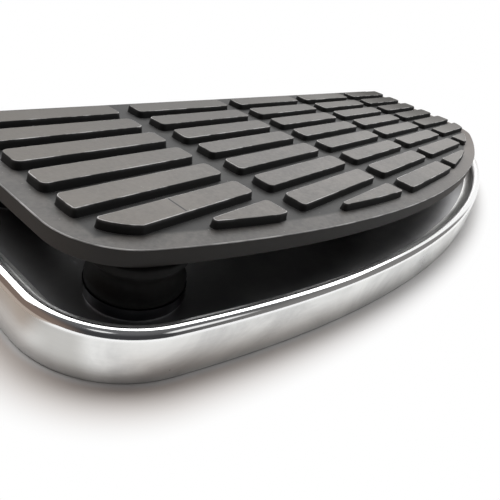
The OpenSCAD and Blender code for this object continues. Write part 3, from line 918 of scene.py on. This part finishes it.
def row_boxes(recipe):
    """One box for each row, as long as the row stays wider than its tail."""
    given = recipe.given
    sockets = {
        "Count": given("Rows"),
        "Start Location": given("First row"),
        "Offset": given("Row step"),
    }
    row_line = recipe.geometry("MeshLine", sockets)
    row_y = recipe.geometry("InputPosition", {}).part("Y")
    chord_y = given("Curve centre Y") - row_y - 0.5 * given("Block width") + given("Tail width")
    radius = given("Curve radius")
    reach = (radius * radius - chord_y * chord_y).most(0.0).root()
    size = recipe.vector(2 * reach, given("Block width"), given("Row height"))
    return recipe.placed(recipe.geometry("MeshCube", {}), row_line, size)


def inside_border(recipe):
    """The solid inside the border that clips the slabs."""
    ends = {"Start": recipe.given("Border foot"), "End": recipe.given("Border top")}
    sockets = {
        "Curve": recipe.geometry("CurvePrimitiveLine", ends),
        "Profile Curve": recipe.given("Geometry"),
        "Fill Caps": True,
    }
    return recipe.geometry("CurveToMesh", sockets)


def block_outlines(recipe, clipped):
    """Outlines of the clipped slabs, with round corners."""
    given = recipe.given
    upwards = 1 - recipe.geometry("InputNormal", {}).part("Z").under(0.9)
    sockets = {"Geometry": clipped, "Selection": upwards}
    tops = recipe.geometry("SeparateGeometry", sockets, {"domain": "FACE"})
    tops = recipe.joined(tops, given("Joining distance"))
    sockets = {"Mesh": tops, "Selection": recipe.open_edges()}
    lines = recipe.at_height(recipe.geometry("MeshToCurve", sockets), 0.0)
    lines = recipe.anticlockwise(lines)
    corner = recipe.corners(least_turn=math.radians(9))
    lines = recipe.cleared(lines, corner, given("Clear of corners"))
    square = recipe.roomy(given("Least side of square ends"))
    radius = given("Corner radius") + given("Extra radius of square ends") * square
    return recipe.rounded(lines, corner, radius, given("Corner steps"))


def block_solids(recipe, lines):
    """Drafted sides swept round the outlines, with flat tops and feet."""
    given = recipe.given
    sides = recipe.swept(lines, given("Side section"))
    sides = recipe.joined(sides, given("Joining distance"))
    open_edges = recipe.open_edges()
    low = recipe.geometry("InputPosition", {}).part("Z").under(MAT_TOP_Z + BLOCK_H / 2)
    tops = recipe.lidded(sides, open_edges * (1 - low), given("Top height"))
    feet = recipe.lidded(sides, open_edges * low, given("Foot height"))
    feet = recipe.geometry("FlipFaces", {"Mesh": feet})
    whole = recipe.geometry("JoinGeometry", {"Geometry": [sides, tops, feet]})
    return recipe.joined(whole, given("Joining distance"))


def build_blocks():
    """The tread's blocks, as a plain grid that is clipped by the mat's border."""
    outline = PAD.points(BLOCK_MARGIN, arc_steps=44, corner_steps=12)
    border = line_curve("tread_border", outline, True)
    section = line_curve("block_side", block_section(), False)
    recipe = block_recipe(section)
    parts = [plain_slabs(recipe), row_boxes(recipe), inside_border(recipe)]
    clipped = recipe.boolean("INTERSECT", {"Mesh 2": parts})
    solids = block_solids(recipe, block_outlines(recipe, clipped))
    piece = recipe.bake("tread_blocks", solids, border, TREAD_RUBBER)
    drop(border, section)
    piece.data.shade_smooth()
    return finish(piece, "pad", TREAD_RUBBER)


def build_plugs(places):
    """Rubber plugs that hold the mat to its plate."""
    end_x = max(place[0] for place in places.values())
    inner_y = places["front_inner_isolator"][1]
    outer_y = places["front_outer_isolator"][1]
    middle_y = (inner_y + outer_y) / 2
    spots = [(share * end_x, middle_y) for share in (-1, -0.5, 0, 0.5, 1)]
    low, top = PLATE_Z - PLUG_HEAD_T, PLATE_Z + PLATE_T + 0.1 * MM
    rounding, axis_r = 0.3 * MM, 0.02 * MM
    head_r = PLUG_R + PLUG_FLARE
    profile = [
        (axis_r, low), (PLUG_R - 2.5 * rounding, low), (PLUG_R - rounding, low + rounding),
        (head_r - rounding, PLATE_Z - 1.2 * rounding), (head_r, PLATE_Z - 0.4 * rounding),
        (head_r - rounding, PLATE_Z), (PLUG_R, PLATE_Z), (PLUG_R, top), (axis_r, top),
    ]
    piece = smooth(turned("mat_plugs", profile, spots, steps=32), degrees=40)
    return finish(piece, "pad", TREAD_RUBBER)


# ---------------------------------------------------------------------------
# Isolators
# ---------------------------------------------------------------------------
def isolator_profile():
    """Half of an isolator's section: a round flange, a hollow waist and a flange."""
    clearance, waist_steps, rounding = 0.03 * MM, 14, 0.5 * MM
    top = PLATE_Z - clearance
    waist_h = top - SEAT_Z - 2 * ISOLATOR_FLANGE_H
    round_x = ISOLATOR_R - rounding
    points = [(round_x, SEAT_Z)]
    points += arc((round_x, SEAT_Z + rounding), rounding, -math.pi / 2, 0, steps=4)
    for i in range(waist_steps + 1):
        share = i / waist_steps
        drawn_in = ISOLATOR_WAIST * math.sin(math.pi * share)
        points.append((ISOLATOR_R - drawn_in, SEAT_Z + ISOLATOR_FLANGE_H + waist_h * share))
    points += arc((round_x, top - rounding), rounding, 0, math.pi / 2, steps=4)
    points += [(ISOLATOR_BORE_R, top), (ISOLATOR_BORE_R, SEAT_Z)]
    return points


def build_isolators(places):
    """The six isolators on their seats, each with a mesh of its own."""
    for name, place in places.items():
        piece = smooth(turned("rubber_" + name, isolator_profile(), [place]), degrees=40)
        finish(piece, "board", MOULDED_RUBBER, [name])
        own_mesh(piece)


# ---------------------------------------------------------------------------
# Metal pieces
# ---------------------------------------------------------------------------
def build_locknut_inserts(places):
    """Nylon rings in the lower ends of the locknuts."""
    inner_r, outer_r, rounding = STUD_R + 0.1 * MM, 4.3 * MM, 0.2 * MM
    low = NUT_Z - 0.5 * MM
    profile = [
        (inner_r, low), (outer_r - rounding, low), (outer_r, low + rounding),
        (outer_r, NUT_Z + rounding), (inner_r, NUT_Z + rounding),
    ]
    spots = list(places.values())
    piece = smooth(turned("locknut_inserts", profile, spots, steps=32), degrees=40)
    return finish(piece, "pad", NYLON)


def cast_bracket(side):
    """The CAD bracket with its edges rounded as on a casting."""
    node = side + "_bracket"
    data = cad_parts[node].data.copy()
    shape = bmesh.new()
    shape.from_mesh(data)
    bmesh.ops.remove_doubles(shape, verts=shape.verts, dist=0.002 * MM)
    flat = math.radians(0.6)
    bmesh.ops.dissolve_limit(shape, angle_limit=flat, verts=shape.verts, edges=shape.edges)
    shape.to_mesh(data)
    shape.free()
    data.name = "cast_" + node
    piece = add_object("cast_" + node, data)
    rounding = piece.modifiers.new("edge_rounding", "BEVEL")
    rounding.width, rounding.segments = 0.6 * MM, 3
    rounding.limit_method, rounding.angle_limit = "ANGLE", math.radians(35)
    data.shade_smooth()
    held = piece.modifiers.new("flat_faces", "WEIGHTED_NORMAL")
    held.keep_sharp = True
    return finish(piece, "brackets", STOVED_BLACK, [node])


def dress_nodes():
    """Puts a finish on each CAD piece that shows as it is."""
    finishes = {
        "footboard_pan": CAST_ALLOY,
        "pad_plate": ZINC_PLATE,
        "rebound_rings": MOULDED_RUBBER,
        "isolator_studs": ZINC_PLATE,
        "stud_washers": ZINC_PLATE,
        "stud_locknuts": ZINC_PLATE,
    }
    for side in ("front", "rear"):
        finishes[side + "_bushing"] = OILED_BRONZE
        for piece in ("_pivot_pin", "_spring_washer", "_pin_clip"):
            finishes[side + piece] = ZINC_PLATE
    for name, material in finishes.items():
        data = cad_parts[name].data
        data.materials.clear()
        data.materials.append(material)


# ---------------------------------------------------------------------------
# Stage: floor, studio and camera
# ---------------------------------------------------------------------------
# Level directions from the board to the white wall, and leftwards along the wall
BEYOND = (0.616, 0.788, 0)
ALONG = (-0.788, 0.616, 0)
PAPER_Z = -0.1 * MM
WHITE = (1, 1, 1)


def ray(nodes, kind):
    """1 for the rays of this kind, else 0."""
    return nodes.add("ShaderNodeLightPath", {}, {}, out="Is " + kind + " Ray")


def paper_rings(reaches):
    """A level sheet of D rings round the board. Each of its points keeps how far
    away from the board it is."""
    rings = [PAN.points(-reach) for reach in reaches]
    around = len(rings[0])
    faces = [tuple(range(around))]
    for ring in range(len(rings) - 1):
        inner, outer = ring * around, (ring + 1) * around
        for i in range(around):
            j = (i + 1) % around
            faces.append((inner + i, outer + i, outer + j, inner + j))
    points = [(x, y, PAPER_Z) for ring in rings for x, y in ring]
    sheet = mesh_object("floor", points, faces)
    away = sheet.data.attributes.new("away_from_board", "FLOAT", "POINT")
    away.data.foreach_set("value", [reach for reach in reaches for _ in range(around)])
    return sheet


def off_bracket(paint):
    """Level distance from the nearer bracket's box."""
    low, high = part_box("rear_bracket")
    middle, half = (low + high) / 2, (high - low) / 2
    off_x = ((paint.x.size() - middle.x).size() - half.x).most(0.0)
    off_y = ((paint.y - middle.y).size() - half.y).most(0.0)
    return (off_x * off_x + off_y * off_y).root()


def floor_paper():
    """Pale paper, painted warm tan next to the board towards its front end, as painted shade.
    It turns to plain
    white a little way off, and keeps the board's shadow next to it. Its reflections in the
    metal are painted:
    white right up to the front end, and dim and warm beyond that, on the inboard side."""
    paint = Paint("floor_paper")
    named = {"attribute_name": "away_from_board"}
    off_board = paint.add("ShaderNodeAttribute", named, {}, out="Fac")
    reach = off_board.maths("MINIMUM", off_board, off_bracket(paint))
    front_end = paint.x.step(-20 * MM, -150 * MM)
    # Towards the front end the paper next to the board is painted warm tan, as painted shade.
    painted_warm_shade = front_end * reach.step(0.1 * MM, 2 * MM)
    tint = painted_warm_shade.blend((0.90, 0.89, 0.88), (0.74, 0.665, 0.615))
    tint = (0.3 * paint.noise(9, detail=4)).blend(tint, (0.90, 0.885, 0.87))

    mirrored = ray(paint, "Glossy")
    seen = ray(paint, "Camera").most(mirrored).most(ray(paint, "Transmission"))
    plain = seen * (reach * (1 - 0.22 * front_end)).step(1 * MM, 12 * MM)
    # In reflections only, the paper past the front end glows white right up to the board, as a
    # painted reflection.
    tip = paint.x.step(-135 * MM, -160 * MM)
    plain = plain.most(mirrored * tip * reach.step(0.0, 6 * MM))
    # In reflections only, the paper beyond the front end on the inboard side shows dim and
    # warm, as a painted reflection.
    dim_painted_reflection = mirrored * paint.x.step(-158 * MM, -165 * MM) * paint.y.step(-41 * MM, -29 * MM)
    glow = dim_painted_reflection.blend(WHITE, (0.44, 0.37, 0.32))

    surface = paint.add("ShaderNodeBsdfDiffuse", {}, {"Color": tint})
    white = paint.add("ShaderNodeEmission", {}, {"Color": glow})
    mixed = paint.add("ShaderNodeMixShader", {}, {0: plain, 1: surface, 2: white})
    end = paint.tree.nodes.new("ShaderNodeOutputMaterial")
    paint.tree.links.new(mixed.socket, end.inputs["Surface"])
    return paint.material


def build_floor():
    """The paper. Its rings lie close together near the board, where its tone changes."""
    near = [0, 1, 2, 3.5, 5, 7, 9, 12, 16, 24]
    far = [60, 200, 1000, 6000]
    floor = paper_rings([reach * MM for reach in near + far])
    floor.data.materials.append(floor_paper())


def direction(turn, height):
    """The unit vector at a turn about Z and a height above level, both in degrees."""
    turn, height = math.radians(turn), math.radians(height)
    flat = math.cos(height)
    return (flat * math.cos(turn), flat * math.sin(turn), math.sin(height))


def build_studio():
    """A white wall and ceiling beyond the board, and a dim room on the camera's side
    with a warm left, a pale right and two small lamps."""
    scene.world = bpy.data.worlds.new("studio")
    scene.world.use_nodes = True
    nodes = Nodes(scene.world.node_tree)
    nodes.tree.nodes.clear()
    towards = nodes.add("ShaderNodeTexCoord", {}, {}, out="Generated")
    ahead, aside, up = towards.dot(BEYOND), towards.dot(ALONG), towards.part("Z")
    wall = (ahead - 0.20 * up).step(-0.08, 0.14)
    wall = wall * (2.14 * ahead - aside.size()).step(-0.15, 0.15)
    room = up.step(0.55, 1.0).blend((0.045, 0.045, 0.048), (0.13, 0.13, 0.135))
    room = aside.step(0.45, 0.85).blend(room, (0.20, 0.150, 0.125))
    room = (0 - aside).step(0.50, 0.95).blend(room, (0.22, 0.215, 0.21))
    # The lamps' turns and heights, and the cosines off them where light begins and is full
    for turn, height, begins, full in ((-158, 61, 0.988, 0.996), (-74, 43, 0.972, 0.994)):
        glint = towards.dot(direction(turn, height)).step(begins, full)
        room = (0.9 * glint).blend(room, WHITE)
    colour = ray(nodes, "Camera").most(wall).blend(room, WHITE)
    back = nodes.add("ShaderNodeBackground", {}, {"Color": colour, "Strength": 1.0})
    end = nodes.tree.nodes.new("ShaderNodeOutputWorld")
    nodes.tree.links.new(back.socket, end.inputs["Surface"])


def build_softbox():
    """The lamp overhead, which reaches from just beyond the board towards the wall."""
    depth, width, near_edge, height, power = 1.6, 2.6, 0.11, 1.0, 28.0
    data = bpy.data.lights.new("overhead_softbox", "AREA")
    data.shape, data.size, data.size_y, data.energy = "RECTANGLE", depth, width, power
    lamp = add_object("overhead_softbox", data)
    reach = near_edge + depth / 2
    lamp.location = (reach * BEYOND[0], reach * BEYOND[1], height)
    lamp.rotation_euler.z = math.atan2(BEYOND[1], BEYOND[0])
    lamp.visible_camera = False


def build_camera():
    """The camera low over the front end, leaning to its left."""
    place = (-189.52 * MM, -109.53 * MM, 83.05 * MM)
    turns = [math.radians(turn) for turn in (57.2170, -13.5758, -49.9603)]
    focal_length, sensor_width = 31.309, 36.0
    data = bpy.data.cameras.new("camera")
    data.lens, data.sensor_width, data.sensor_fit = focal_length, sensor_width, "AUTO"
    data.clip_start, data.clip_end = 0.01, 20
    camera = add_object("camera", data)
    camera.matrix_world = Matrix.LocRotScale(place, Euler(turns), None)
    scene.camera = camera


build_camera()
build_floor()
build_studio()
build_softbox()
dress_nodes()
build_pan()
build_mat()
build_blocks()
PLACES = isolator_places()
build_plugs(PLACES)
build_isolators(PLACES)
build_locknut_inserts(PLACES)
cast_bracket("front")
cast_bracket("rear")

scene.view_settings.view_transform = "Standard"
